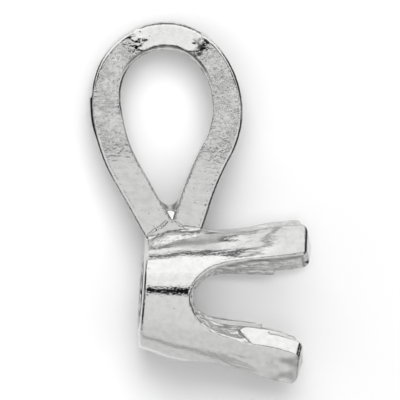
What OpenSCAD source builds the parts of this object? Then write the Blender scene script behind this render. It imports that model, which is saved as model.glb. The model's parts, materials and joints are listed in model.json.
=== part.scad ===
// Four-prong pendant setting: a flared cup whose four prongs hold a round stone, and a bail,
// bent from flat strip into a teardrop, that is soldered to the cup's side.
// It is drawn on its own axes: +X runs from the cup's back rim to the prong tips, +Y to the
// top of the bail and +Z out of the bail's front face. Then it is laid on a table on its back,
// where it touches at three places: the bail's end, one prong, and the cup beside its gap.

/* [Cup] */
// Diameter of the round stone that the prongs hold
stone_d = 4.0; // [3.9:0.05:4.1]
// Outside diameter of the back rim
back_d = 3.56; // [3.5:0.02:3.7]
// Length from the back rim to the prong tips
cup_l = 5.0; // [4.9:0.1:5.4]
// Slope of the outside against the axis, in degrees
flare = 12.9; // [12:0.1:14]
// Bore under the stone
bore_d = 3.64; // [3.5:0.02:3.7]
// Hole in the back, which lets light reach the stone
light_hole_d = 2.3; // [1.6:0.1:2.6]
// Thickness of the back around the light hole
back_t = 0.35; // [0.25:0.05:0.5]
// Distance from the back rim to the ledge that the stone sits on
ledge_x = 3.88; // [3.7:0.02:4.0]
// Length of the straight wall above the ledge, which the stone's edge fits
seat_l = 0.28; // [0.2:0.02:0.4]
// Diameter across the prongs' inner corners at their tips
mouth_d = 4.4; // [4.2:0.05:4.6]

/* [Prongs] */
// Width of a prong where its gap's round corner ends
root_w = 1.33; // [1.2:0.01:1.4]
// Width of a prong at its tip
tip_w = 1.0; // [0.9:0.02:1.2]
// Distance from the back rim to the bottom of the gaps between the prongs
gap_x = 1.26; // [1.2:0.02:1.4]
// Radius of the gaps' round corners
gap_r = 1.13; // [1.0:0.01:1.2]
// Rounding of the prong tips and of the back rim
edge_r = 0.19; // [0.1:0.01:0.22]

/* [Bail] */
// Thickness of the strip, which is the loop's wall as seen from the front
strip_t = 0.92; // [0.85:0.01:1.0]
// Width of the strip, from the bail's front face to its back face
strip_w = 1.4; // [1.2:0.05:1.6]
// Radius of the loop's left half, to the middle of the strip
loop_r = 1.85; // [1.8:0.01:1.9]
// Height of the loop's top above the cup's axis, to the middle of the strip
loop_y = 7.96; // [7.8:0.01:8.2]
// Distance of the loop's top from the plane of the back rim
loop_x = 0.13; // [0:0.01:0.3]
// Backward lean of the loop, in degrees
lean = 3.9; // [3:0.1:4.5]

/* [Hidden] */
$fn = 96;

metal = [0.86, 0.86, 0.85];
back_r = back_d / 2;
seat_r = stone_d / 2;
past = 1;
reach = 4;
arc_step = 10;
bend_step = 6;

// The bail's two legs, as bends down from the loop's top. A row is a bend's radius and its
// angle, negative when it bends the other way, or 0 and a straight stretch's length.
front_leg = [[1.68, 48.3], [2.6, 70.7], [8.6, -11.2], [0, 0.9]];
back_leg = [[loop_r, 89], [4.66, 30.7], [0, 2.0]];

// The web of solder, seen from the front, around the feet of the two legs
web_left = 0;
web_right = 1.67;
web_foot_y = 1.4;
web_shoulder_y = 1.75;
web_peak = [0.55, 2.24];
web_dip = [0.86, 2.23];
web_end_y = 2.0;
// The web rises to this height at the bail's back face, as a sloped trough between the legs
trough_y = 2.71;
trough_left = 0.15;
trough_right = 1.02;

// The prongs' ends are square to the flared wall, so their outer corners are set back.
end_t = (back_r + cup_l * tan(flare) - mouth_d / 2) * cos(flare);
end_outer = [mouth_d / 2 + end_t * cos(flare), cup_l - end_t * sin(flare)];

// Centres of the round edges of the prong ends and of the back rim, as [radius, x]
end_centre = end_outer - edge_r * [cos(flare) + sin(flare), cos(flare) - sin(flare)];
rim_centre = [back_r + edge_r * tan(flare) - edge_r / cos(flare), edge_r];

// Centre of a gap's round corner, as [x, distance from the middle of the prong beside it]
gap_corner = [gap_x + gap_r, root_w / 2 + gap_r];

// The loop's round top, as seen from the front
loop_centre = [loop_x, loop_y] + loop_r * [sin(lean), -cos(lean)];
loop_outer_r = loop_r + strip_t / 2;

// Points of an arc about a centre, from one angle to another
function arc(centre, r, from, to) =
    let (steps = ceil(abs(to - from) / arc_step))
    [for (i = [0 : steps]) centre + r * [cos(from + (to - from) * i / steps), sin(from + (to - from) * i / steps)]];

// Turns a shape that is drawn along Z onto the cup's axis.
module on_cup_axis() rotate([0, 90, 0]) children();

// The cup before it is hollowed and slotted: a cone with round edges at both ends
module flared_body() {
    on_cup_axis() rotate_extrude()
        polygon(concat(
            [[0, 0]],
            arc(rim_centre, edge_r, -90, -flare),
            arc(end_centre, edge_r, -flare, 90 - flare),
            [[mouth_d / 2, cup_l], [0, cup_l]]
        ));
}

// Everything beside one prong, on one of its sides
module beside_prong() {
    taper = (root_w - tip_w) / 2 / (cup_l - gap_corner.x);
    linear_extrude(2 * reach, center = true)
        polygon(concat(
            arc(gap_corner, gap_r, 180, 270 - atan(taper)),
            [[cup_l + past, tip_w / 2 - past * taper], [cup_l + past, reach], [gap_x, reach]]
        ));
}

// The gap between two neighbouring prongs, open at the tips
module gap() intersection() {
    rotate([45, 0, 0]) beside_prong();
    rotate([135, 0, 0]) beside_prong();
}

// Cup and prongs: the gaps leave four prongs standing at 45 degrees to the bail.
module cup_and_prongs() color(metal) difference() {
    flared_body();
    for (turn = [0 : 90 : 270]) rotate([turn, 0, 0]) gap();
}

// The inside: light hole, sloped shoulder, bore, ledge, seat wall and widening mouth
module hollow() {
    light_r = light_hole_d / 2;
    bore_r = bore_d / 2;
    mouth_r = mouth_d / 2;
    widening = (mouth_r - seat_r) / (cup_l - ledge_x - seat_l);
    on_cup_axis() rotate_extrude()
        polygon([
            [0, -past], [light_r, -past], [light_r, back_t],
            [bore_r, back_t + 2 * (bore_r - light_r)],
            [bore_r, ledge_x], [seat_r, ledge_x], [seat_r, ledge_x + seat_l],
            [mouth_r + past * widening, cup_l + past], [0, cup_l + past]
        ]);
}

// One step along the bent strip. A place is [x, y, heading], and share is how far along the row.
function onward(place, row, share) =
    let (heading = place[2], here = [place.x, place.y])
    row[0] == 0
        ? let (there = here + share * row[1] * [cos(heading), sin(heading)])
            [there.x, there.y, heading]
        : let (
            side = sign(row[1]),
            later = heading - share * row[1],
            there = here + side * row[0] * ([sin(heading), -cos(heading)] - [sin(later), -cos(later)])
        )
            [there.x, there.y, later];

function rest_of(rows) = [for (i = [1 : 1 : len(rows) - 1]) rows[i]];

// The middle line of a leg, as places from the loop's top to the leg's foot
function middle_line(rows, place = [0, 0, 0]) =
    len(rows) == 0
        ? [place]
        : let (row = rows[0], steps = row[0] == 0 ? 1 : ceil(abs(row[1]) / bend_step))
            concat(
                [for (i = [0 : steps - 1]) onward(place, row, i / steps)],
                middle_line(rest_of(rows), onward(place, row, 1))
            );

// A leg's edge, beside its middle line
function edge_line(rows, beside) = [for (p = middle_line(rows)) [p.x, p.y] + beside * [sin(p[2]), -cos(p[2])]];

function reversed(points) = [for (i = [len(points) - 1 : -1 : 0]) points[i]];

function mirrored(points) = [for (p = points) [-p.x, p.y]];

// Bail: the strip bent into a teardrop, whose two feet stand on the cup
module bail() color(metal) translate([loop_x, loop_y, 0]) rotate([0, 0, lean]) linear_extrude(strip_w, center = true)
    polygon(concat(
        reversed(mirrored(edge_line(back_leg, -strip_t / 2))),
        edge_line(front_leg, -strip_t / 2),
        reversed(edge_line(front_leg, strip_t / 2)),
        mirrored(edge_line(back_leg, strip_t / 2))
    ));

// Solder: a web, flush with the bail's faces, that fills the fork between the legs and the cup
module solder() color(metal) {
    linear_extrude(strip_w, center = true)
        polygon([
            [web_left, web_foot_y], [web_right, web_foot_y], [web_right, web_end_y],
            web_dip, web_peak, [web_left, web_shoulder_y]
        ]);
    translate([trough_left, 0, 0]) rotate([90, 0, 90]) linear_extrude(trough_right - trough_left)
        polygon([
            [web_foot_y, -strip_w / 2], [trough_y, -strip_w / 2],
            [web_dip.y, strip_w / 2], [web_foot_y, strip_w / 2]
        ]);
}

module setting_upright() difference() {
    union() {
        cup_and_prongs();
        bail();
        solder();
    }
    hollow();
}

function unit(v) = v / norm(v);

function flared_r(x) = back_r + x * tan(flare);

function lowest(places, up) = let (heights = [for (p = places) p * up]) places[search(min(heights), heights)[0]];

// A place on the edge of the gap in the cup's back. The angle is its turn towards the bail, and
// the distance from the back rim is found by repetition, because the cup widens with it.
function gap_edge(angle, x = gap_x, rounds = 5) =
    rounds == 0
        ? [x, flared_r(x) * sin(angle), -flared_r(x) * cos(angle)]
        : let (beside = flared_r(x) * sin(45 - angle))
            gap_edge(angle, gap_corner.x - sqrt(gap_r ^ 2 - (gap_corner.y - beside) ^ 2), rounds - 1);

// A place on the round end of the prong that is next to it, on the prong's nearer edge
function prong_edge(slope) =
    let (p = end_centre + edge_r * [cos(slope), sin(slope)], angle = 45 - asin(tip_w / 2 / p.x))
    [p.y, p.x * sin(angle), -p.x * cos(angle)];

// A place on the back edge of the loop's outside
function loop_edge(angle) = concat(loop_centre + loop_outer_r * [cos(angle), sin(angle)], -strip_w / 2);

cup_places = [for (angle = [0 : 0.5 : 30]) gap_edge(angle)];
prong_places = [for (slope = [-flare : 0.5 : 60]) prong_edge(slope)];
loop_places = [for (angle = [90 : 0.5 : 180]) loop_edge(angle)];

// The way up that stands square on the table through three places, found by repetition
function settled(up, rounds = 12) =
    rounds == 0
        ? up
        : let (cup = lowest(cup_places, up), prong = lowest(prong_places, up), loop = lowest(loop_places, up))
            settled(unit(cross(prong - cup, loop - cup)), rounds - 1);

way_up = settled([0, 0, 1]);
roll = atan2(way_up.y, way_up.z);
pitch = atan2(-way_up.x, norm([way_up.y, way_up.z]));

// Where a place goes when the setting is laid down, before it is moved over the origin
function turned(p) =
    let (q = [p.x, p.y * cos(roll) - p.z * sin(roll), p.y * sin(roll) + p.z * cos(roll)])
    [q.x * cos(pitch) + q.z * sin(pitch), q.y, q.z * cos(pitch) - q.x * sin(pitch)];

// The outermost places, from which the middle of the laid setting is found
outermost = [
    for (p = [for (angle = [0 : 5 : 180]) loop_edge(angle)], side = [0, strip_w])
        turned(p + [0, 0, side]),
    for (a = [45 : 90 : 315], side = [-1, 1])
        let (out = a + side * asin(tip_w / 2 / end_outer.x))
            turned([end_outer.y, end_outer.x * cos(out), end_outer.x * sin(out)])
];
middle = [for (axis = [0, 1]) let (v = [for (p = outermost) p[axis]]) (min(v) + max(v)) / 2];
table_z = turned(lowest(cup_places, way_up)).z;

module pendant_setting()
    translate([-middle.x, -middle.y, -table_z]) rotate([roll, pitch, 0]) setting_upright();

pendant_setting();
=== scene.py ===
"""A four-prong pendant setting in polished white gold, lying on its back on a pale table.

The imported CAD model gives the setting's place. Its metal is shaped here once more, from the same named sizes,
as one body with round edges, solder fillets and cast waves. Sizes are in millimetres on the setting's own
axes: X runs from the cup's back rim to the prong tips, Y to the top of the bail and Z out of its front face.

Two numbers under one name are mostly a range, along an axis or by distance: a form's two ends, or where
something starts to come in or fade and where that ends. Waves and marks are layers of noise, each given as
its height, its size and how far it is drawn out along X.
"""

import json
import math

import bmesh
import bpy
import numpy as np
import openvdb
from mathutils import Matrix, Vector


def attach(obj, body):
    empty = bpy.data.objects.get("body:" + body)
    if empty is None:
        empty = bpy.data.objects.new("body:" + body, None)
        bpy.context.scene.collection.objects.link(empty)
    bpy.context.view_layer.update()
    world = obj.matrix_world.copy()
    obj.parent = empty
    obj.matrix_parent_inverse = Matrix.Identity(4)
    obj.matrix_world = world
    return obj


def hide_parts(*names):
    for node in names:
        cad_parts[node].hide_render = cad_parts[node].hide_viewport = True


MM = 0.001
ROOT_2 = math.sqrt(2)

# Cup
BACK_R = 1.78
CUP_L = 5.0
FLARE = math.radians(12.9)
BULGE = 0.04
BULGE_AT = 0.85
BULGE_L = 0.42
BACK_LIP = 0.08
LIGHT_HOLE_R = 1.15
BACK_T = 0.35
SHOULDER_SLOPE = 0.5
BORE_R = 1.82
LEDGE_X = 3.88
LEDGE_TILT = 0.06
SEAT_R = 2.0
SEAT_L = 0.28
MOUTH_R = 2.2
MOUTH_SLOPE = (MOUTH_R - SEAT_R) / (CUP_L - LEDGE_X - SEAT_L)
RIM_ROUND = 0.12
END_ROUND = 0.19
INNER_ROUND = 0.05
LEDGE_ROUND = 0.03
BORE_FILLET = 0.02

# Prongs
ROOT_W = 1.33
TIP_W = 1.0
GAP_X = 1.25
GAP_R = 1.13
GAP_BLEND = 0.14
TAPER = (ROOT_W - TIP_W) / 2 / (CUP_L - GAP_X - GAP_R)
SIDE_ROUND = 0.085
TIP_CORNER = 0.22
TIP_RAISE = 0.035
PRONG_FLAT = 0.75
FLAT_X = (1.2, 4.2)
PRONG_TWIST = 0.165
TWIST_X = (3.0, 4.2)
PRONG_MARKS = ((0.0035, 1.0, 6), (0.00175, 0.4, 4))
MARKS_FROM_X = (1.3, 2.0)
MARKS_TO_X = (3.7, 4.2)
MARKS_GROW = 1.2
MARKS_GROW_X = (2.4, 3.0)
CUT_MARKS = ((0.018, 0.7, 5), (0.009, 0.2, 3))

# The flatter facet on the lower front prong
LEAF_FROM = 2.86
LEAF_DEPTH = 0.4
LEAF_SPREAD = 1.4
LEAF_BEND = 0.06
LEAF_SLOPE = math.tan(math.radians(22))
LEAF_REACH = 0.75
LEAF_WAVES = ((0.006, 0.3, 1),)
LEAF_START_ROUND = 0.1
LEAF_INNER_ROUND = 0.06
LEAF_ROUND = 0.04
LEAF_ROUND_X = (2.4, 2.9)

# Bail
STRIP_T = 0.95
TOP_THINNER = 0.05
THINNER_DOWN = (0.3, 3.2)
STRIP_W = 1.4
STRIP_ROUND = 0.05
STRIP_BEVEL = 0.075
BEVEL_TILT = math.radians(38.8)
BEVEL_ROUND = 0.02
SHARP_SHARE = 0.8
LEFT_SHARP_BELOW = 5.3
RIGHT_SHARP_BELOW = 6.7
SHARP_MIDDLE = 0.2
SHARP_FADE = 0.4
LEG_STEP = 0.04
LEG_STEP_FROM_Y = (4.4, 5.4)
LEG_STEP_TO_Y = (5.86, 5.94)
FACE_WAVES = ((0.004, 0.55, 1), (0.002, 0.2, 1))
WALL_WAVES = ((0.005, 0.5, 1), (0.002, 0.15, 1))
LEG_WAVES = 0.3
CALM_Y = (3.3, 6.2)
LOOP_X = 0.13
LOOP_Y = 7.96
LOOP_R = 1.85
LEAN = math.radians(3.9)

# The legs' middle lines from the loop's top: radius and turn in degrees, or 0 and a straight's length
FRONT_LEG = ((1.68, 48.3), (2.6, 70.7), (8.6, -11.2), (0, 0.9))
BACK_LEG = ((LOOP_R, 89), (4.66, 30.7), (0, 2.0))
POINTS_PER_PIECE = 9

# The loop's tilted, polished top: the degrees from its middle where the tilt, the polish and the painted shade
# end
TOP_TURN = math.radians(4)
TILTED = (22, 38)
POLISHED = (38, 46)
PAINTED_SHADE_UNDER = (45, 75)
TOP_RAGGED = ((0.07, 0.14, 1),)
TILT_FROM = 1.35
TILT_SLOPE = math.tan(math.radians(11.5))
TILT_EASE = (0, 0.12)
TOP_BEVEL = 0.035
TOP_BEVEL_TURN = math.radians(6.2)

# Solder
WEB_OUTLINE = ((0, 1.4), (1.67, 1.4), (1.67, 2.0), (0.86, 2.23), (0.55, 2.24), (0, 1.75))
FOOT_FILLET = 0.07
SOLDER_FILLET = 0.07
LEFT_SEAM = ((0.0, 1.78), (0.165, 1.95), (0.345, 2.055), (0.533, 2.254))
RIGHT_SEAM = ((0.861, 2.23), (1.023, 2.132), (1.274, 2.093), (1.508, 2.087))
SEAM_DEPTH = 0.02
SEAM_WIDTH = 0.045
TROUGH_FRONT_Y = 2.4
TROUGH_BACK_Y = 2.98
TROUGH_FOOT_Y = 1.6
TROUGH_X = (0.15, 1.02)
TROUGH_Z = (-0.68, 0.52)
TROUGH_SAG = 0.16
TROUGH_ROUND = 0.32
TROUGH_FILLET = 0.16
TROUGH_WAVES = ((0.012, 0.14, 1),)
DROP_AT = (0.65, 2.36, 0.42)
DROP_R = 0.26
DROP_TOP = 0.14
DROP_TILT = math.radians(27)
DROP_ROUND = 0.07
DROP_FILLET = 0.04
BEAD_TOP = ((0.06, 1.6), (0.26, 1.69), (0.56, 1.86), (0.9, 1.92), (1.15, 1.93), (1.54, 1.965), (1.7, 2.02))
BEAD_RAGGED = ((0.025, 0.09, 1),)
BEAD_X = (0.1, 1.66)
BEAD_Z = (0.3, 1.02)
BEAD_TALL = 0.5
BEAD_SLOPE = math.tan(math.radians(24.5))
BEAD_ROUND = 0.1
BEAD_END_ROUND = 0.12
BEAD_FILLET = 0.02
CRUMBS = ((0.017, 0.12, 1), (0.0102, 0.07, 1))

# Where the metal is left as cast, cut or crumbly. Insets are measured in from the strip's sides
FRONT_Z = 0.5
CAST_INSET = (0.115, 0.14)
CAST_SHARP = 0.08
CAST_Z = (STRIP_W / 2 - 0.16, STRIP_W / 2 - 0.13)
CAST_NEAR = (0.04, 0.07)
CAST_FROM_BEAD = (0.0, 0.03)
RIM_CAST = 0.25
RIM_X = (0, 0.08)
RIM_R = (1.9, 1.95)
CUT_CAST = 0.3
CUT_NEAR = (0.01, 0.04)
CUT_OUTSIDE = (0.02, 0.06)
LEAF_SMOOTH = 0.8
LEAF_INSIDE = (-0.05, -0.02)
HOLLOW_NEAR = (0.01, 0.05)
CRUMB_FROM_BEAD = (0.0, 0.04)
TOP_END_CRUMBS = 0.8

# Dirt in the seams, a painted shadow over the bead and painted shade in the trough's corners
SEAM_STAIN = 0.32
SEAM_STAIN_NEAR = (0.01, 0.05)
BEAD_PAINTED_SHADOW = 0.65
BEAD_PAINTED_SHADOW_UP = 0.03
BEAD_PAINTED_SHADOW_NEAR = (0.01, 0.05)
BEAD_PAINTED_SHADOW_RAGGED = ((0.02, 0.08, 1),)
TROUGH_PAINTED_SHADE_NEAR = (0.08, 0.2)
TROUGH_PAINTED_SHADE_Z = (0.35, 0.6)
TROUGH_PAINTED_SHADE_ABOVE = 2.15
DROP_CLEAR = (0.02, 0.06)
LEG_PAINTED_SHADE_NEAR = (0.06, 0.19)
LEG_PAINTED_SHADE_Y = (2.3, 2.42)
HIGH_PAINTED_SHADE = 0.3
HIGH_PAINTED_SHADE_Y = (2.6, 2.75)

# Painted shade under the loop's top and along the left leg's step, and painted dark reflections where the
# polished top ends
UNDER_TOP_INSET = 0.1
UNDER_TOP_NEAR = (0.015, 0.06)
STEP_PAINTED_SHADE_INSET = (-0.1, -0.05)
STEP_PAINTED_SHADE_LEFT_OF = -1
STEP_PAINTED_SHADE_FROM_Y = (4.5, 5.1)
STEP_PAINTED_SHADE_TO_Y = (5.86, 5.98)
TOP_END_GAIN = 6
TOP_END_RIGHT_OF = 0.3
TOP_END_INSET = (0.1, 0.16)
TOP_END_FLECKS = 0.09
TOP_END_RANGE = (-0.4, 0.1)

# Painted shade along the prongs' hidden edges, and darker colour on the cuts, near the tips, in blotches and in
# the hollow
PRONG_PAINTED_SHADE = 0.7
PRONG_PAINTED_SHADE_INSET = 0.01
PRONG_PAINTED_SHADE_NEAR = (0.02, 0.06)
PRONG_PAINTED_SHADE_FROM_X = (1.7, 1.8)
PRONG_PAINTED_SHADE_TO_X = (2.3, 3.2)
CUT_DARKENING = 0.55
CUT_DARKENING_DEPTH = 0.13
CUT_DARKENING_NEAR = (0.03, 0.1)
CUT_DARKENING_X = (2.2, 2.6)
TIP_DARKENING = 0.2
TIP_DARKENING_NEAR = (0.02, 0.05)
TIP_DARKENING_X = (3.4, 4.2)
BLOTCHES = 0.6
BLOTCHES_X = (3.7, 4.6)
BLOTCHES_DOWN = (1.5, 1.6)
BLOTCHES_SIZE = 0.22
BLOTCHES_RANGE = (-0.5, 0.6)
HOLLOW_DARKENING = 0.3
HOLLOW_STREAKS = ((0.25, 0.6, 6),)

# Satin near the prong tips, and on the cup's side under the solder
TIP_SATIN = 0.6
TIP_SATIN_FROM_X = (2.6, 3.3)
TIP_SATIN_TO_X = (4.72, 4.8)
SIDE_SATIN_Y = (1.42, 1.52)
SIDE_SATIN_X = (1.9, 2.5)
SIDE_SATIN_Z = 0.9
SIDE_SATIN_FROM_BEAD = (0.02, 0.06)

# Noise: a repeating table of random values
NOISE_SIDE = 32
NOISE_SEED = 5
NOISE_SHIFT = 100
NOISE_TABLE = np.random.default_rng(NOISE_SEED).uniform(-1, 1, (NOISE_SIDE,) * 3)

# Meshing: the band and the longest move are in cells
LOW_CORNER = (-2.1, -2.6, -2.6)
HIGH_CORNER = (5.3, 8.6, 2.6)
CELL = 0.048
BAND = 3
SLOPE_STEP = 0.004
DRAW_ROUNDS = 4
LEAST_STEEP = 0.2
LONGEST_MOVE = 0.5

# Finish: clouds as waves per millimetre, detail and distortion, and depths in metres
METAL = (0.675, 0.675, 0.67, 1)
# The dark colour for dirt, pits and tarnish, and for the painted shade, shadow and reflections
DIRT_AND_SHADE_COLOUR = (0.1, 0.1, 0.098, 1)
POLISHED_ROUGHNESS = 0.06
CAST_ROUGHNESS = 0.26
GRAIN = (9.0, 3.0, 0.8)
CAST_DEPTH = 0.00005
POLISHED_GRAIN = 0.045
CRUMB_GRAIN = 0.5
PATCHES = (1.3, 1.0)
PATCH_RANGE = (0.4, 0.6)
PATCH_GRAIN = (0.4, 1.35)
FINE_GRAIN = (16.0, 1.0)
FINE_DEPTH = 0.000003
CALM_GRAIN = 0.02
CALM_FINE = 0.2
CALM_ROUGHNESS = 0.35
STREAKS = (7.0, 2.0)
STREAK_SHAPE = (0.16, 1, 1)
STREAK_DEPTH = 0.000002
CUT_STREAK = 14.0
PITS = 3.2
PIT_SIZE = (0.04, 0.08)
PIT_STAIN = 0.57
TARNISH = (5.0, 4.0)
TARNISH_RANGE = (0.35, 0.7)
TARNISH_STAIN = 0.09

# The photograph's view of the setting, in degrees, and its scale
VIEW_TURN = 3.87
VIEW_FROM_BACK = 2.5
VIEW_FROM_BAIL = 1.9
PHOTO_SIDE = 400
PHOTO_MM = 0.031
RIM_IN_PHOTO = (143.48, 291.08)
CAMERA_DISTANCE = 0.35
CAMERA_SENSOR = 36
CAMERA_CLIP = (0.01, 10)

# Table
TABLE_MIDDLE = 0.0075
TABLE_EDGE = 1.0
TABLE_SIDES = 96
TABLE_COLOUR = (0.8, 0.8, 0.8, 1)
TABLE_ROUGHNESS = 0.9

# The room in the metal's mirror: angles from the camera's line, up the picture, and how bright it is there
ROOM = (
    (-180, 0.75),
    (-114, 0.82),
    (-108, 0.53),
    (-104, 0.53),
    (-97, 0.88),
    (-80, 0.85),
    (-70, 0.88),
    (-52, 0.96),
    (-3, 0.98),
    (4, 1.05),
    (12, 1.08),
    (20, 1.24),
    (33, 1.2),
    (40, 1.38),
    (70, 1.4),
    (73.5, 0.12),
    (77, 0.12),
    (81, 0.95),
    (86, 1.25),
    (90, 1.25),
    (95, 1.08),
    (140, 1.1),
    (180, 0.75),
)
ROOM_PEAK = 1.4
SLOT_MIDDLE = math.radians(5.4)
SLOT_HEIGHT = (math.radians(5.9), math.radians(6.9))
SLOT_WIDTH = (math.radians(30), math.radians(40))
SLOT_LEVEL = 0.01
SIDE_FROM = (math.radians(46), math.radians(60))
SIDE_LEVEL = 0.05
END_FROM = (math.radians(79), math.radians(85))
END_LEVEL = 0.8

# Lamps over the table: name, degrees up the picture, half of the width in degrees, and power
LAMPS = (
    ("key", 22, 13, 1.1),
    ("fill", 1, 36, 2.9),
)
LAMP_DISTANCE = 0.45
GAP_LAMP_AIM = (3.4, -0.5)
GAP_LAMP_LIFT = math.radians(50)
GAP_LAMP_DISTANCE = 0.18
GAP_LAMP_CONE = math.radians(1.4)
GAP_LAMP_R = 0.0015
GAP_LAMP_POWER = 0.5


# Placing

def setting_matrix(record):
    """The setting's own axes, in millimetres, to the frame: read from the seat's and the bail's mounts."""
    mounts = {m["name"]: m for m in record["mounts"]}
    along_cup = Vector(mounts["stone_seat"]["axis"]).normalized()
    out_of_face = Vector(mounts["bail_loop"]["axis"]).normalized()
    turn = Matrix((along_cup, out_of_face.cross(along_cup), out_of_face)).transposed()
    seat_middle = Vector((LEDGE_X + SEAT_L / 2, 0, 0)) * MM
    place = Matrix.Translation(Vector(mounts["stone_seat"]["pos_m"]) - turn @ seat_middle)
    return place @ turn.to_4x4() @ Matrix.Scale(MM, 4)


# Ways to blend, join and roughen

def step_up(value, low, high):
    """Goes smoothly from 0 to 1 while the value goes from low to high."""
    share = np.clip((value - low) / (high - low), 0, 1)
    return share * share * (3 - 2 * share)


def between(value, start, end):
    """Comes in smoothly over the first range and goes out over the second."""
    return step_up(value, *start) * (1 - step_up(value, *end))


def near(distance, fade):
    """1 close to a surface, and 0 past the fade's range on both of its sides."""
    return 1 - step_up(np.abs(distance), *fade)


def past_ends(value, ends):
    """Distance past the two ends, negative between them."""
    return np.maximum(ends[0] - value, value - ends[1])


def both(a, b, r):
    """Inside both shapes, with the edge where they meet rounded. Shapes are distances, negative inside."""
    return np.minimum(-r, np.maximum(a, b)) + np.hypot(np.maximum(a + r, 0), np.maximum(b + r, 0))


def either(a, b, r):
    """Inside one of the shapes, with a fillet where they meet."""
    return np.maximum(r, np.minimum(a, b)) - np.hypot(np.maximum(r - a, 0), np.maximum(r - b, 0))


def noise(x, y, z, size):
    """Smooth random values from -1 to 1, that change over about the given size."""
    parts = []
    for v in (x, y, z):
        v = v / size + NOISE_SHIFT
        whole = np.floor(v)
        share = v - whole
        parts.append((whole.astype(int) % NOISE_SIDE, share * share * (3 - 2 * share)))
    total = 0
    for i in (0, 1):
        for j in (0, 1):
            for k in (0, 1):
                corner = [(parts[n][0] + step) % NOISE_SIDE for n, step in enumerate((i, j, k))]
                weight = 1
                for n, step in enumerate((i, j, k)):
                    weight = weight * (parts[n][1] if step else 1 - parts[n][1])
                total = total + weight * NOISE_TABLE[corner[0], corner[1], corner[2]]
    return total


def waves(x, y, z, layers):
    """The sum of layers of noise, each with its height, its size and how far it is drawn out along X."""
    return sum(height * noise(x, drawn * y, drawn * z, size) for height, size, drawn in layers)


# Cup and prongs

def cup_outside(x, r):
    """The flared outside, with a round rim at the back and round prong ends at the front."""
    swell = BULGE * np.exp(-(((x - BULGE_AT) / BULGE_L) ** 2))
    wall = (r - BACK_R - x * math.tan(FLARE) - swell) * math.cos(FLARE)
    return both(both(wall, -BACK_LIP - x, RIM_ROUND), prong_end(x, r), END_ROUND)


def prong_end(x, r):
    """The prongs' end faces, square to the flared wall."""
    return (x - CUP_L) * math.cos(FLARE) + (r - MOUTH_R) * math.sin(FLARE)


def mouth_widening(x):
    """How much wider than the seat the hollow is, past the seat's wall."""
    return np.maximum(x - LEDGE_X - SEAT_L, 0) * MOUTH_SLOPE


def cup_inside(x, y, z):
    """The hollow: light hole, sloped shoulder, bore, then the stone's seat and its widening mouth."""
    r = np.hypot(y, z)
    shoulder = (r - LIGHT_HOLE_R - (x - BACK_T) * SHOULDER_SLOPE) * math.cos(math.atan(SHOULDER_SLOPE))
    bore = np.minimum(r - LIGHT_HOLE_R, np.maximum(shoulder, r - BORE_R))
    x = x - LEDGE_TILT * y
    seat = both(r - SEAT_R - mouth_widening(x), LEDGE_X - x, LEDGE_ROUND)
    return either(bore, seat, BORE_FILLET)


def half_width(x):
    """Half of a prong's width, which shrinks towards its tip."""
    return ROOT_W / 2 - (x - GAP_X - GAP_R) * TAPER


def prong_and_foot(x, beside):
    """A prong with the foot of the cup, seen from the side: a strip that widens at its root."""
    return either(x - GAP_X, beside - half_width(x), GAP_R)


def leaf(x, y, z):
    """The flatter facet on the lower front prong's cut side, which starts in a slanted curve."""
    half = half_width(x)
    inner_r = np.where(x < LEDGE_X, BORE_R, SEAT_R + mouth_widening(x))
    inner_y = (half - np.sqrt(np.maximum(inner_r ** 2 - half ** 2, 0))) / ROOT_2
    depth = BACK_R + x * math.tan(FLARE) - (z - y) / ROOT_2
    start = x - LEAF_FROM - LEAF_SPREAD * np.hypot(depth - LEAF_DEPTH, LEAF_BEND)
    lift = LEAF_SLOPE * np.clip(depth, 0, LEAF_REACH) + waves(x, y, z, LEAF_WAVES)
    facet = (z + y) / ROOT_2 - half - lift
    pillow = both(both(facet, -start, LEAF_START_ROUND), y - inner_y, LEAF_INNER_ROUND)
    return np.maximum(pillow, -(z + y))


def gap_sides(x, y, z):
    """Distance from the cut sides of the four gaps, negative in the metal."""
    first_pair = prong_and_foot(x, np.abs(z - y) / ROOT_2)
    second_pair = prong_and_foot(x, np.abs(z + y) / ROOT_2)
    cuts = either(first_pair, second_pair, GAP_BLEND) + waves(x, y, z, CUT_MARKS)
    return np.minimum(cuts, leaf(x, y, z))


def flattened_r(x, y, z):
    """The radius, measured so that the prongs' outer faces grow flatter and turn to the front at the tips."""
    flatter = PRONG_FLAT * step_up(x, *FLAT_X)
    turned = step_up(x, *TWIST_X)
    twist = PRONG_TWIST * turned
    flat_r = (np.abs(y) * (0.5 - twist) + np.abs(z) * (0.5 + twist)) * ROOT_2
    r = np.hypot(y, z) * (1 - flatter) + flat_r * flatter - TIP_RAISE * turned
    marked = between(x, MARKS_FROM_X, MARKS_TO_X) * (1 + MARKS_GROW * step_up(x, *MARKS_GROW_X))
    return r + marked * waves(x, y, z, PRONG_MARKS)


def cup_and_prongs(x, y, z):
    """The cup with its gaps. The prongs' end corners are round, and the leaf's edge is sharp."""
    r = flattened_r(x, y, z)
    gaps = gap_sides(x, y, z)
    by_leaf = step_up(x, *LEAF_ROUND_X) * (y < 0) * (z > 0)
    side_round = SIDE_ROUND + (LEAF_ROUND - SIDE_ROUND) * by_leaf
    return np.maximum(both(cup_outside(x, r), gaps, side_round), both(prong_end(x, r), gaps, TIP_CORNER))


# Bail

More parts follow.
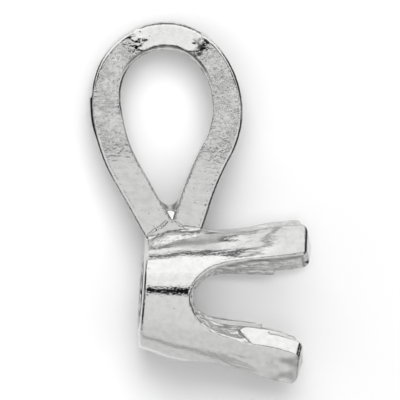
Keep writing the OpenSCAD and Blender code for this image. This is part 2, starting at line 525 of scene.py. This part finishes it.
def path_pieces(rows):
    """A leg's middle line as arcs and straights, from the loop's top. The heading turns clockwise."""
    here = np.array([0.0, 0.0])
    heading = 0.0
    pieces = []
    for radius, amount in rows:
        if radius == 0:
            ahead = np.array([math.cos(heading), math.sin(heading)])
            pieces.append(("straight", here, ahead, amount))
            here = here + amount * ahead
        else:
            side = math.copysign(1, amount)
            right = np.array([math.sin(heading), -math.cos(heading)])
            centre = here + side * radius * right
            later = heading - math.radians(amount)
            middle = (heading + later) / 2
            towards = -side * np.array([math.sin(middle), -math.cos(middle)])
            pieces.append(("arc", centre, towards, radius, abs(math.radians(amount)) / 2))
            here = centre - side * radius * np.array([math.sin(later), -math.cos(later)])
            heading = later
    return pieces


def from_path(u, v, pieces):
    """Distance in the plane of the bail's face from a leg's middle line."""
    nearest = np.inf
    for kind, place, direction, size, *half_turn in pieces:
        du = u - place[0]
        dv = v - place[1]
        along = du * direction[0] + dv * direction[1]
        across = dv * direction[0] - du * direction[1]
        if kind == "straight":
            away = np.hypot(along - np.clip(along, 0, size), across)
        else:
            angle = np.clip(np.arctan2(across, along), -half_turn[0], half_turn[0])
            away = np.hypot(along - size * np.cos(angle), across - size * np.sin(angle))
        nearest = np.minimum(nearest, away)
    return nearest


def middle_points(pieces):
    """Points of a leg's middle line, from its foot up."""
    points = []
    for kind, place, direction, size, *half_turn in pieces:
        across = np.array([-direction[1], direction[0]])
        for share in np.linspace(-1, 1, POINTS_PER_PIECE):
            if kind == "straight":
                points.append(place + direction * size * (share + 1) / 2)
            else:
                turn = half_turn[0] * share
                points.append(place + size * (direction * math.cos(turn) + across * math.sin(turn)))
    return np.array(sorted(points, key=lambda p: p[1]))


FRONT_PATH = path_pieces(FRONT_LEG)
BACK_PATH = path_pieces(BACK_LEG)
FRONT_POINTS = middle_points(FRONT_PATH)
BACK_POINTS = middle_points(BACK_PATH)


def loop_place(x, y):
    """A point in the loop's own plane: across and up from the top of the strip's middle line."""
    dx = x - LOOP_X
    dy = y - LOOP_Y
    return dx * math.cos(LEAN) + dy * math.sin(LEAN), dy * math.cos(LEAN) - dx * math.sin(LEAN)


def top_share(x, y, angles):
    """1 on the loop's top and 0 on its shoulders, past the angles from its middle."""
    u, v = loop_place(x, y)
    turn = np.abs(np.arctan2(u, v + LOOP_R) - TOP_TURN) + waves(x, y, 0 * x, TOP_RAGGED)
    return 1 - step_up(turn, *(math.radians(a) for a in angles))


def inner_side(x, y):
    """1 on the side of the bail's middle line where the opening is, and 0 on its outer side."""
    u, v = loop_place(x, y)
    front = np.interp(v, FRONT_POINTS[:, 1], FRONT_POINTS[:, 0])
    back = -np.interp(v, BACK_POINTS[:, 1], BACK_POINTS[:, 0])
    return 1.0 * ((u < front) & (u > back) & (v < 0))


def strip(x, y):
    """Distance in the plane from the bent strip's sides. Its top is thinner, and its left leg has a step."""
    u, v = loop_place(x, y)
    half = STRIP_T / 2 - TOP_THINNER * (1 - step_up(-v, *THINNER_DOWN))
    step = LEG_STEP * between(y, LEG_STEP_FROM_Y, LEG_STEP_TO_Y) * (x < 0) * (1 - inner_side(x, y))
    return np.minimum(from_path(u, v, FRONT_PATH), from_path(-u, v, BACK_PATH)) - half - step


def web(x, y):
    """Distance in the plane from the solder around the legs' feet."""
    sides = -np.inf
    corners = WEB_OUTLINE + WEB_OUTLINE[:1]
    for (x0, y0), (x1, y1) in zip(corners, corners[1:]):
        side = ((x - x0) * (y1 - y0) - (y - y0) * (x1 - x0)) / math.hypot(x1 - x0, y1 - y0)
        sides = np.maximum(sides, side)
    return sides


def hanger_sides(x, y):
    """Distance in the plane from the strip and the solder around its feet together."""
    return either(strip(x, y), web(x, y), FOOT_FILLET)


def from_line(x, y, points):
    """Distance in the plane from a line through the points."""
    nearest = np.inf
    for (x0, y0), (x1, y1) in zip(points, points[1:]):
        length = math.hypot(x1 - x0, y1 - y0)
        share = np.clip(((x - x0) * (x1 - x0) + (y - y0) * (y1 - y0)) / length ** 2, 0, 1)
        nearest = np.minimum(nearest, np.hypot(x - x0 - share * (x1 - x0), y - y0 - share * (y1 - y0)))
    return nearest


def from_seams(x, y):
    """Distance in the plane from the thin lines where the legs' cut ends meet the solder."""
    return np.minimum(from_line(x, y, LEFT_SEAM), from_line(x, y, RIGHT_SEAM))


def bevelled(wall, face, angle, width):
    """The strip's edge: round from its side wall, then a narrow flat bevel, then its face."""
    bevel = (wall + width) * np.sin(angle) + face * np.cos(angle)
    outward = wall + STRIP_ROUND
    upward = (bevel + STRIP_ROUND - outward * np.sin(angle)) / np.cos(angle)
    on_round = (upward > 0) & (upward * np.sin(angle) < outward * np.cos(angle))
    edge = np.where(on_round, np.hypot(outward, upward) - STRIP_ROUND, np.maximum(wall, bevel))
    return both(edge, face, BEVEL_ROUND)


def sharpened(x, y):
    """1 along the legs' inner edges, where the bevel is nearly gone."""
    limit = np.where(x > SHARP_MIDDLE, RIGHT_SHARP_BELOW, LEFT_SHARP_BELOW)
    return inner_side(x, y) * (1 - step_up(y - limit, 0, SHARP_FADE))


def hanger(x, y, z):
    """The strip and the solder around its feet, as one flat sheet with round edges."""
    rise = np.maximum(loop_place(x, y)[1] + LOOP_R - TILT_FROM, 0)
    raised = top_share(x, y, TILTED) * step_up(rise, *TILT_EASE)
    seam = SEAM_DEPTH * (1 - step_up(from_seams(x, y), 0, SEAM_WIDTH))
    wavy = waves(x, y, z, FACE_WAVES) * (LEG_WAVES + (1 - LEG_WAVES) * step_up(y, *CALM_Y))
    face = np.where(z > 0, z + TILT_SLOPE * rise * raised + seam, -z) - STRIP_W / 2 + wavy
    wall = hanger_sides(x, y) + waves(x, y, z, WALL_WAVES)
    raised = raised * (z > 0)
    width = STRIP_BEVEL * (1 - SHARP_SHARE * sharpened(x, y)) + TOP_BEVEL * raised
    return bevelled(wall, face, BEVEL_TILT - TOP_BEVEL_TURN * raised, width)


# Solder

def trough(x, y, z):
    """The solder between the legs: it sags in the middle and slopes up to the back."""
    middle = (TROUGH_X[0] + TROUGH_X[1]) / 2
    slope = (TROUGH_FRONT_Y - TROUGH_BACK_Y) / STRIP_W
    sag = TROUGH_SAG * (1 - ((x - middle) / (TROUGH_X[1] - TROUGH_X[0]) * 2) ** 2)
    top = (y - (TROUGH_FRONT_Y + TROUGH_BACK_Y) / 2 - z * slope + sag) / math.hypot(1, slope)
    section = np.maximum(np.maximum(past_ends(x, TROUGH_X), top), TROUGH_FOOT_Y - y)
    return both(section, past_ends(z, TROUGH_Z), TROUGH_ROUND) + waves(x, y, z, TROUGH_WAVES)


def drop(x, y, z):
    """The drop of solder low in the fork between the legs, with a flat top that slopes to the opening."""
    dx = x - DROP_AT[0]
    dy = y - DROP_AT[1]
    dz = z - DROP_AT[2]
    top = dz * math.cos(DROP_TILT) + dy * math.sin(DROP_TILT) - DROP_TOP
    return both(np.sqrt(dx ** 2 + dy ** 2 + dz ** 2) - DROP_R, top, DROP_ROUND)


def bead_top(x):
    """The ragged upper line of the solder bead."""
    return np.interp(x, *zip(*BEAD_TOP)) + waves(x, 0 * x, 0 * x, BEAD_RAGGED)


def bead(x, y, z):
    """The thick solder bead along the front edge of the web: steep above, sloped to the cup below."""
    top = bead_top(x)
    slope = (z - BEAD_Z[1] + BEAD_SLOPE * (y - top)) / math.hypot(1, BEAD_SLOPE)
    ends = np.maximum(past_ends(x, BEAD_X), top - BEAD_TALL - y)
    return both(both(slope, y - top, BEAD_ROUND), np.maximum(ends, BEAD_Z[0] - z), BEAD_END_ROUND)


def setting(x, y, z):
    """The whole setting, fused into one body and then hollowed."""
    hung = either(hanger(x, y, z), trough(x, y, z), TROUGH_FILLET)
    hung = either(hung, drop(x, y, z), DROP_FILLET)
    body = either(cup_and_prongs(x, y, z), hung, SOLDER_FILLET)
    body = either(body, bead(x, y, z), BEAD_FILLET)
    body = body + waves(x, y, z, CRUMBS) * crumbly(x, y, z)
    return both(body, -cup_inside(x, y, z), INNER_ROUND)


# Finishes and painted shade, from 0 to 1 at each point

def on_hollow(x, y, z):
    """The hollow's wall."""
    return near(cup_inside(x, y, z), HOLLOW_NEAR)


def cast_skin(x, y, z):
    """Left as cast: the bail's faces, the back rim and the hollow, and a little on the cuts."""
    inset = -hanger_sides(x, y) + CAST_SHARP * sharpened(x, y)
    on_face = step_up(inset, *CAST_INSET) * step_up(np.abs(z), *CAST_Z)
    on_face = on_face * near(hanger(x, y, z), CAST_NEAR) * step_up(bead(x, y, z), *CAST_FROM_BEAD)
    on_face = on_face * (1 - top_share(x, y, POLISHED) * (z > 0))
    on_rim = RIM_CAST * (1 - step_up(x, *RIM_X)) * (1 - step_up(np.hypot(y, z), *RIM_R))
    return np.maximum.reduce([on_face, CUT_CAST * cut_sides(x, y, z), on_rim, on_hollow(x, y, z)])


def cut_sides(x, y, z):
    """The gaps' cut sides, with the marks of the cutter along them. The leaf is smoother."""
    on_cut = near(gap_sides(x, y, z), CUT_NEAR)
    on_cut = on_cut * (1 - step_up(cup_outside(x, flattened_r(x, y, z)), *CUT_OUTSIDE))
    return on_cut * (1 - LEAF_SMOOTH * step_up(-leaf(x, y, z), *LEAF_INSIDE))


def crumbly(x, y, z):
    """The solder's crumbly bead, and the rough places where the loop's polished top ends."""
    on_bead = (1 - step_up(bead(x, y, z), *CRUMB_FROM_BEAD)) * (z > 0)
    top = top_share(x, y, TILTED)
    return np.maximum(on_bead, TOP_END_CRUMBS * top * (1 - top) * (z > FRONT_Z))


def seam_dirt_and_painted_shade(x, y, z):
    """Dark dirt in the seams, a painted shadow over the bead and painted shade in the trough's corners."""
    on_seam = SEAM_STAIN * (1 - step_up(from_seams(x, y), *SEAM_STAIN_NEAR)) * (z > 0)
    # Painted shadow: a dark ragged line just over the bead's top
    over_bead = np.abs(y - bead_top(x) - BEAD_PAINTED_SHADOW_UP) + waves(x, y, z, BEAD_PAINTED_SHADOW_RAGGED)
    on_bead = BEAD_PAINTED_SHADOW * (1 - step_up(over_bead, *BEAD_PAINTED_SHADOW_NEAR))
    on_bead = on_bead * (past_ends(x, BEAD_X) < 0) * (z > FRONT_Z)
    # Painted shade in the trough's corners beside the legs, and fainter higher up
    in_trough = near(trough(x, y, z), TROUGH_PAINTED_SHADE_NEAR) * (1 - step_up(z, *TROUGH_PAINTED_SHADE_Z))
    in_trough = in_trough * (y > TROUGH_PAINTED_SHADE_ABOVE) * step_up(drop(x, y, z), *DROP_CLEAR)
    by_legs = (1 - step_up(strip(x, y), *LEG_PAINTED_SHADE_NEAR)) * step_up(y, *LEG_PAINTED_SHADE_Y)
    in_trough = in_trough * np.maximum(by_legs, HIGH_PAINTED_SHADE * step_up(y, *HIGH_PAINTED_SHADE_Y))
    return np.maximum.reduce([on_seam, on_bead, in_trough])


def bail_painted_shade_and_reflections(x, y, z):
    """Painted shade under the loop's top and along the left leg's step, and painted dark reflections where the
    polished top ends.
    """
    sides = strip(x, y)
    inner = inner_side(x, y)
    # Painted shade: a dark line just inside the loop's inner edge under its top
    under_top = near(sides + UNDER_TOP_INSET, UNDER_TOP_NEAR) * inner * top_share(x, y, PAINTED_SHADE_UNDER) * (z > 0)
    # Painted shade along the left leg's outer edge at its step
    at_step = step_up(sides, *STEP_PAINTED_SHADE_INSET) * (1 - inner) * (x < STEP_PAINTED_SHADE_LEFT_OF) * (z > 0)
    at_step = at_step * between(y, STEP_PAINTED_SHADE_FROM_Y, STEP_PAINTED_SHADE_TO_Y)
    top = top_share(x, y, TILTED)
    # Painted dark reflections: flecks where the loop's tilted top ends
    flecks = step_up(noise(x, y, z, TOP_END_FLECKS), *TOP_END_RANGE) * step_up(-sides, *TOP_END_INSET)
    at_end = np.minimum(1, TOP_END_GAIN * top * (1 - top)) * flecks
    at_end = at_end * (x > TOP_END_RIGHT_OF) * (z > FRONT_Z)
    return np.maximum.reduce([under_top, at_step, at_end])


def cup_painted_shade_and_dark_marks(x, y, z):
    """Painted shade along the prongs' hidden edges, and darker colour on the cuts, near the tips, in blotches
    and in the hollow.
    """
    # Painted shade: a dark line along the prong's hidden edge
    edge = (y - z) / ROOT_2 - ROOT_W / 2 + PRONG_PAINTED_SHADE_INSET
    on_prong = near(edge, PRONG_PAINTED_SHADE_NEAR) * (z > FRONT_Z)
    on_prong = on_prong * between(x, PRONG_PAINTED_SHADE_FROM_X, PRONG_PAINTED_SHADE_TO_X)
    wall = cup_outside(x, flattened_r(x, y, z))
    upper_front = (y > 0) * (z > 0)
    at_tip = near(wall, TIP_DARKENING_NEAR) * step_up(x, *TIP_DARKENING_X) * upper_front
    on_cut = near(wall + CUT_DARKENING_DEPTH, CUT_DARKENING_NEAR) * cut_sides(x, y, z)
    on_cut = on_cut * step_up(x, *CUT_DARKENING_X) * upper_front
    blotches = step_up(noise(x, y, z, BLOTCHES_SIZE), *BLOTCHES_RANGE)
    blotches = blotches * step_up(x, *BLOTCHES_X) * step_up(-y, *BLOTCHES_DOWN) * (z > 0)
    in_hollow = on_hollow(x, y, z) * (HOLLOW_DARKENING + waves(x, y, z, HOLLOW_STREAKS))
    return np.maximum.reduce(
        [PRONG_PAINTED_SHADE * on_prong, TIP_DARKENING * at_tip, CUT_DARKENING * on_cut, BLOTCHES * blotches, in_hollow]
    )


def painted_shade_and_dirt(x, y, z):
    """All the dark dirt, and the painted shade, shadow and reflections."""
    return np.maximum.reduce([seam_dirt_and_painted_shade(x, y, z), bail_painted_shade_and_reflections(x, y, z), cup_painted_shade_and_dark_marks(x, y, z)])


def satin(x, y, z):
    """The dull outer faces near the prong tips, and the cup's side just under the solder."""
    near_tips = TIP_SATIN * between(x, TIP_SATIN_FROM_X, TIP_SATIN_TO_X)
    by_solder = step_up(y, *SIDE_SATIN_Y) * (1 - step_up(x, *SIDE_SATIN_X)) * (z > SIDE_SATIN_Z)
    return np.maximum(near_tips, by_solder * step_up(bead(x, y, z), *SIDE_SATIN_FROM_BEAD))


# Meshing

def slopes(shape, p):
    """How steeply a shape's distance grows at each point, along each axis."""
    found = []
    for axis in range(3):
        step = np.zeros(3)
        step[axis] = SLOPE_STEP
        ahead = shape(*(p + step).T)
        behind = shape(*(p - step).T)
        found.append((ahead - behind) / (2 * SLOPE_STEP))
    return np.stack(found, 1)


def surface(shape):
    """Points, normals and quads of a shape's surface. The points are drawn onto the true surface."""
    low = np.array(LOW_CORNER)
    counts = np.ceil((np.array(HIGH_CORNER) - low) / CELL).astype(int) + 1
    x, y, z = (low[n] + CELL * np.arange(counts[n]) for n in range(3))
    values = shape(x[:, None, None], y[None, :, None], z[None, None, :])
    grid = openvdb.FloatGrid(BAND * CELL)
    grid.copyFromArray(np.clip(values, -BAND * CELL, BAND * CELL).astype(np.float32))
    points, quads = grid.convertToQuads(0.0)
    p = np.array(points, dtype=float) * CELL + low
    for _ in range(DRAW_ROUNDS):
        slope = slopes(shape, p)
        steep = np.maximum((slope ** 2).sum(1), LEAST_STEEP)
        move = shape(*p.T)[:, None] * slope / steep[:, None]
        far = np.maximum(np.linalg.norm(move, axis=1) / (LONGEST_MOVE * CELL), 1)
        p -= move / far[:, None]
    normals = slopes(shape, p)
    normals /= np.linalg.norm(normals, axis=1)[:, None]
    return p, normals, np.array(quads)


def metal_object(name, shape, masks, place):
    """A mesh of the shape with its true normals, and each point's place, finishes and painted shade for the
    material.
    """
    p, normals, quads = surface(shape)
    turn = np.array(place.to_3x3().normalized())
    world = p @ np.array(place.to_3x3()).T + np.array(place.translation)
    mesh = bpy.data.meshes.new(name)
    mesh.from_pydata(world.tolist(), [], quads.tolist())
    mesh.update()
    mesh.shade_smooth()
    mesh.normals_split_custom_set_from_vertices((normals @ turn.T).tolist())
    spots = mesh.attributes.new("spot", "FLOAT_VECTOR", "POINT")
    spots.data.foreach_set("vector", p.astype(np.float32).ravel())
    for mask_name, mask in masks.items():
        values = mesh.attributes.new(mask_name, "FLOAT", "POINT")
        values.data.foreach_set("value", mask(*p.T).astype(np.float32))
    obj = bpy.data.objects.new(name, mesh)
    bpy.context.collection.objects.link(obj)
    return obj


# Shader nodes

def input_socket(made, name):
    """A node's input by its number, or the one in use with the name."""
    if isinstance(name, int):
        return made.inputs[name]
    return next(s for s in made.inputs if s.name == name and s.enabled)


def node(tree, kind, inputs=(), **settings):
    """Adds a shader node, sets its options and links or sets its inputs."""
    made = tree.nodes.new(kind)
    for name, value in settings.items():
        setattr(made, name, value)
    for name, value in dict(inputs).items():
        socket = input_socket(made, name)
        if isinstance(value, bpy.types.NodeSocket):
            tree.links.new(value, socket)
        else:
            socket.default_value = value
    return made


def maths(tree, operation, a, b=0.0):
    return node(tree, "ShaderNodeMath", {0: a, 1: b}, operation=operation).outputs[0]


def along(tree, vector, axis):
    """How far a vector goes along an axis."""
    made = node(tree, "ShaderNodeVectorMath", {0: vector, 1: tuple(axis)}, operation="DOT_PRODUCT")
    return made.outputs["Value"]


def ramped(tree, value, low, high, out_low=0.0, out_high=1.0):
    """Goes smoothly from one value to another while the input goes from low to high."""
    inputs = {"Value": value, "From Min": low, "From Max": high, "To Min": out_low, "To Max": out_high}
    return node(tree, "ShaderNodeMapRange", inputs, interpolation_type="SMOOTHSTEP").outputs["Result"]


def changed_to(tree, share, level):
    """1 where the share is 0, and the level where it is 1."""
    return ramped(tree, share, 0, 1, 1, level)


def profile(tree, value, low, high, stops):
    """A grey level that follows the stops, given as value and level."""
    inputs = {"Value": value, "From Min": low, "From Max": high}
    share = node(tree, "ShaderNodeMapRange", inputs).outputs["Result"]
    ramp = node(tree, "ShaderNodeValToRGB", {"Fac": share})
    elements = ramp.color_ramp.elements
    while len(elements) > 1:
        elements.remove(elements[-1])
    for n, (at, level) in enumerate(stops):
        spot = (at - low) / (high - low)
        element = elements[0] if n == 0 else elements.new(spot)
        element.position = spot
        element.color = (level, level, level, 1)
    return ramp.outputs["Color"]


def from_mesh(tree, name, output="Fac"):
    """What the mesh says at each point."""
    return node(tree, "ShaderNodeAttribute", attribute_name=name).outputs[output]


def clouds(tree, vector, scale, detail, distortion=0.0):
    """Noise around 0.5."""
    inputs = {"Vector": vector, "Scale": scale, "Detail": detail, "Distortion": distortion}
    return node(tree, "ShaderNodeTexNoise", inputs).outputs["Fac"]


def bumped(tree, height, depth, **below):
    """The normal over a height times the depth, on top of the bump below it, if any."""
    return node(tree, "ShaderNodeBump", {"Height": height, "Distance": depth, **below}).outputs["Normal"]


# Metal and table

def metal_colour(tree, spot):
    """White metal, greyer with dirt and painted shade from the mesh, with pits and with a little tarnish."""
    cells = node(tree, "ShaderNodeTexVoronoi", {"Vector": spot, "Scale": PITS}).outputs["Distance"]
    pits = ramped(tree, cells, *PIT_SIZE, PIT_STAIN, 0)
    tarnish = ramped(tree, clouds(tree, spot, *TARNISH), *TARNISH_RANGE, 0, TARNISH_STAIN)
    # Dirt, pits and tarnish, together with the painted shade from the mesh
    dirt_and_shade = maths(tree, "ADD", maths(tree, "MAXIMUM", from_mesh(tree, "dirt_and_painted_shade"), pits), tarnish)
    tint = node(tree, "ShaderNodeMix", {"Factor": dirt_and_shade, "A": METAL, "B": DIRT_AND_SHADE_COLOUR}, data_type="RGBA")
    return next(s for s in tint.outputs if s.enabled)


def metal_bumps(tree, spot, cast, cut, calm):
    """A fine grain, then long polishing streaks, then the cast skin's mottle and the solder's crumbs."""
    fine = maths(tree, "SUBTRACT", clouds(tree, spot, *FINE_GRAIN), 0.5)
    fine = maths(tree, "MULTIPLY", fine, changed_to(tree, calm, CALM_FINE))
    normal = bumped(tree, fine, FINE_DEPTH)
    drawn_out = node(tree, "ShaderNodeMapping", {"Vector": spot, "Scale": STREAK_SHAPE}).outputs["Vector"]
    streaks = maths(tree, "SUBTRACT", clouds(tree, drawn_out, *STREAKS), 0.5)
    streaks = maths(tree, "MULTIPLY", streaks, changed_to(tree, cut, CUT_STREAK))
    normal = bumped(tree, streaks, STREAK_DEPTH, Normal=normal)
    patches = ramped(tree, clouds(tree, spot, *PATCHES), *PATCH_RANGE, *PATCH_GRAIN)
    depth = maths(tree, "ADD", maths(tree, "MULTIPLY", cast, patches), POLISHED_GRAIN)
    depth = maths(tree, "ADD", depth, maths(tree, "MULTIPLY", from_mesh(tree, "crumbs"), CRUMB_GRAIN))
    depth = maths(tree, "MULTIPLY", depth, changed_to(tree, calm, CALM_GRAIN))
    grain = maths(tree, "SUBTRACT", clouds(tree, spot, *GRAIN), 0.5)
    return bumped(tree, maths(tree, "MULTIPLY", grain, depth), CAST_DEPTH, Normal=normal)


def white_gold():
    """Polished metal with a mottled cast skin, calmer low on the legs, as the mesh's finishes say."""
    mat = bpy.data.materials.new("white_gold")
    mat.use_nodes = True
    tree = mat.node_tree
    shader = tree.nodes["Principled BSDF"]
    shader.inputs["Metallic"].default_value = 1
    spot = from_mesh(tree, "spot", "Vector")
    cast = from_mesh(tree, "cast")
    cut = from_mesh(tree, "cut")
    up_the_bail = node(tree, "ShaderNodeSeparateXYZ", {"Vector": spot}).outputs["Y"]
    calm = maths(tree, "MULTIPLY", cast, ramped(tree, up_the_bail, *CALM_Y, 1, 0))
    dull = maths(tree, "MULTIPLY", cast, changed_to(tree, calm, CALM_ROUGHNESS))
    dull = maths(tree, "MAXIMUM", maths(tree, "MAXIMUM", dull, from_mesh(tree, "satin")), cut)
    roughness = ramped(tree, dull, 0, 1, POLISHED_ROUGHNESS, CAST_ROUGHNESS)
    tree.links.new(metal_colour(tree, spot), shader.inputs["Base Color"])
    tree.links.new(roughness, shader.inputs["Roughness"])
    tree.links.new(metal_bumps(tree, spot, cast, cut, calm), shader.inputs["Normal"])
    return mat


def table_material():
    mat = bpy.data.materials.new("pale_table")
    mat.use_nodes = True
    shader = mat.node_tree.nodes["Principled BSDF"]
    shader.inputs["Base Color"].default_value = TABLE_COLOUR
    shader.inputs["Roughness"].default_value = TABLE_ROUGHNESS
    return mat


def circle(shape, radius):
    """A round of corners on the table's plane."""
    angles = [2 * math.pi * n / TABLE_SIDES for n in range(TABLE_SIDES)]
    return [shape.verts.new((radius * math.cos(a), radius * math.sin(a), 0)) for a in angles]


def flat_ring(name, inner, outer, material):
    """A flat ring on the table's plane, or a disc where there is no inner radius."""
    shape = bmesh.new()
    outside = circle(shape, outer)
    if inner:
        inside = circle(shape, inner)
        for n in range(TABLE_SIDES):
            after = (n + 1) % TABLE_SIDES
            shape.faces.new((inside[n], outside[n], outside[after], inside[after]))
    else:
        shape.faces.new(outside)
    mesh = bpy.data.meshes.new(name)
    shape.to_mesh(mesh)
    shape.free()
    mesh.materials.append(material)
    obj = bpy.data.objects.new(name, mesh)
    bpy.context.collection.objects.link(obj)
    return obj


def make_table():
    """A pale table. The metal mirrors its middle, and the room's dark edge instead of the rest."""
    pale = table_material()
    flat_ring("table_middle", 0, TABLE_MIDDLE, pale)
    flat_ring("table", TABLE_MIDDLE, TABLE_EDGE, pale).visible_glossy = False


# Camera and light

def make_camera(place):
    """Looks at the setting from the photograph's side, from far off, with the photograph's framing."""
    own = place.to_3x3().normalized()
    from_back = math.tan(math.radians(VIEW_FROM_BACK))
    from_bail = math.tan(math.radians(VIEW_FROM_BAIL))
    towards = (own @ Vector((-from_back, from_bail, 1))).normalized()
    turn = math.radians(VIEW_TURN)
    right = own @ Vector((math.cos(turn), math.sin(turn), 0))
    right = (right - towards * right.dot(towards)).normalized()
    up = towards.cross(right)
    dx = (PHOTO_SIDE / 2 - RIM_IN_PHOTO[0]) * PHOTO_MM
    dy = (PHOTO_SIDE / 2 - RIM_IN_PHOTO[1]) * PHOTO_MM
    target = place @ Vector((
        math.cos(turn) * dx + math.sin(turn) * dy,
        math.sin(turn) * dx - math.cos(turn) * dy,
        0,
    ))
    camera = bpy.data.cameras.new("camera")
    camera.sensor_width = CAMERA_SENSOR
    camera.lens = CAMERA_SENSOR * CAMERA_DISTANCE / (PHOTO_SIDE * PHOTO_MM * MM)
    camera.clip_start, camera.clip_end = CAMERA_CLIP
    obj = bpy.data.objects.new("camera", camera)
    facing = Matrix((right, up, towards)).transposed().to_4x4()
    obj.matrix_world = Matrix.Translation(target + towards * CAMERA_DISTANCE) @ facing
    bpy.context.collection.objects.link(obj)
    bpy.context.scene.camera = obj
    return right, up, towards


def make_room(right, up, towards):
    """The room that the metal mirrors: bright and dark bands, the lens's dark slot, dark sides, bright ends.

    It doesn't light the table.
    """
    world = bpy.data.worlds.new("studio")
    world.use_nodes = True
    tree = world.node_tree
    ray = node(tree, "ShaderNodeTexCoord").outputs["Generated"]
    height = maths(tree, "ARCTAN2", along(tree, ray, up), along(tree, ray, towards))
    aside = maths(tree, "ABSOLUTE", maths(tree, "ARCSINE", along(tree, ray, right)))
    from_slot = maths(tree, "ABSOLUTE", maths(tree, "SUBTRACT", height, SLOT_MIDDLE))
    slot_height = ramped(tree, from_slot, *SLOT_HEIGHT, 1, 0)
    in_slot = maths(tree, "MULTIPLY", slot_height, ramped(tree, aside, *SLOT_WIDTH, 1, 0))
    stops = [(math.radians(angle), level / ROOM_PEAK) for angle, level in ROOM]
    bands = profile(tree, height, -math.pi, math.pi, stops)
    room = maths(tree, "MULTIPLY", bands, changed_to(tree, in_slot, SLOT_LEVEL))
    for start, level in ((SIDE_FROM, SIDE_LEVEL), (END_FROM, END_LEVEL)):
        share = ramped(tree, aside, *start, 0, 1)
        room = node(tree, "ShaderNodeMix", {"Factor": share, 2: room, 3: level / ROOM_PEAK}).outputs[0]
    background = tree.nodes["Background"]
    tree.links.new(room, background.inputs["Color"])
    background.inputs["Strength"].default_value = ROOM_PEAK
    bpy.context.scene.world = world
    world.cycles_visibility.diffuse = False


def hang_lamp(lamp, target, aim, distance):
    """Hangs a lamp that shines on the target, and that neither the camera nor the metal's mirror shows."""
    obj = bpy.data.objects.new(lamp.name, lamp)
    turn = aim.to_track_quat("Z", "Y").to_matrix().to_4x4()
    obj.matrix_world = Matrix.Translation(target + aim * distance) @ turn
    obj.visible_glossy = False
    obj.visible_camera = False
    bpy.context.collection.objects.link(obj)


def make_lamps(up, towards):
    """Two soft lamps for the table, whose shadows fall as in the photograph."""
    for name, lift, half_width_angle, power in LAMPS:
        lamp = bpy.data.lights.new(name, "AREA")
        lamp.energy = power
        lamp.size = 2 * LAMP_DISTANCE * math.tan(math.radians(half_width_angle))
        aim = (towards * math.cos(math.radians(lift)) + up * math.sin(math.radians(lift))).normalized()
        hang_lamp(lamp, Vector((0, 0, 0)), aim, LAMP_DISTANCE)


def make_gap_lamp(place, right):
    """A narrow lamp from the prongs' open side, that lightens the table between them."""
    on_table = place @ Vector((*GAP_LAMP_AIM, 0))
    on_table.z = 0
    level = Vector((right.x, right.y, 0)).normalized()
    aim = level * math.cos(GAP_LAMP_LIFT) + Vector((0, 0, math.sin(GAP_LAMP_LIFT)))
    lamp = bpy.data.lights.new("gap_lamp", "SPOT")
    lamp.energy = GAP_LAMP_POWER
    lamp.spot_size = GAP_LAMP_CONE
    lamp.spot_blend = 1
    lamp.shadow_soft_size = GAP_LAMP_R
    hang_lamp(lamp, on_table, aim, GAP_LAMP_DISTANCE)


# The scene

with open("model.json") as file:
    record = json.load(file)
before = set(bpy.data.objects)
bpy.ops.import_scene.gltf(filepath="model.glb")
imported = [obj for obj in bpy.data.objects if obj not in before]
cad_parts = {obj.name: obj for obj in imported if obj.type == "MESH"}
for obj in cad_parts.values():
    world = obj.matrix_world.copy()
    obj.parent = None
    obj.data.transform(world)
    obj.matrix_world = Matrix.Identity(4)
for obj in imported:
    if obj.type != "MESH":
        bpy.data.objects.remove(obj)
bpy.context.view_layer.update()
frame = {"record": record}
place = setting_matrix(frame["record"])
right, up, towards = make_camera(place)
make_room(right, up, towards)
make_lamps(up, towards)
make_gap_lamp(place, right)
make_table()

# The stain mask carries seam dirt and painted shade, shadow and reflections
finishes = {"cast": cast_skin, "cut": cut_sides, "crumbs": crumbly, "dirt_and_painted_shade": painted_shade_and_dirt, "satin": satin}
metal = metal_object("setting", setting, finishes, place)
metal.data.materials.append(white_gold())
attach(metal, "root")
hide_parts("pendant_setting")

bpy.context.scene.view_settings.view_transform = "Standard"
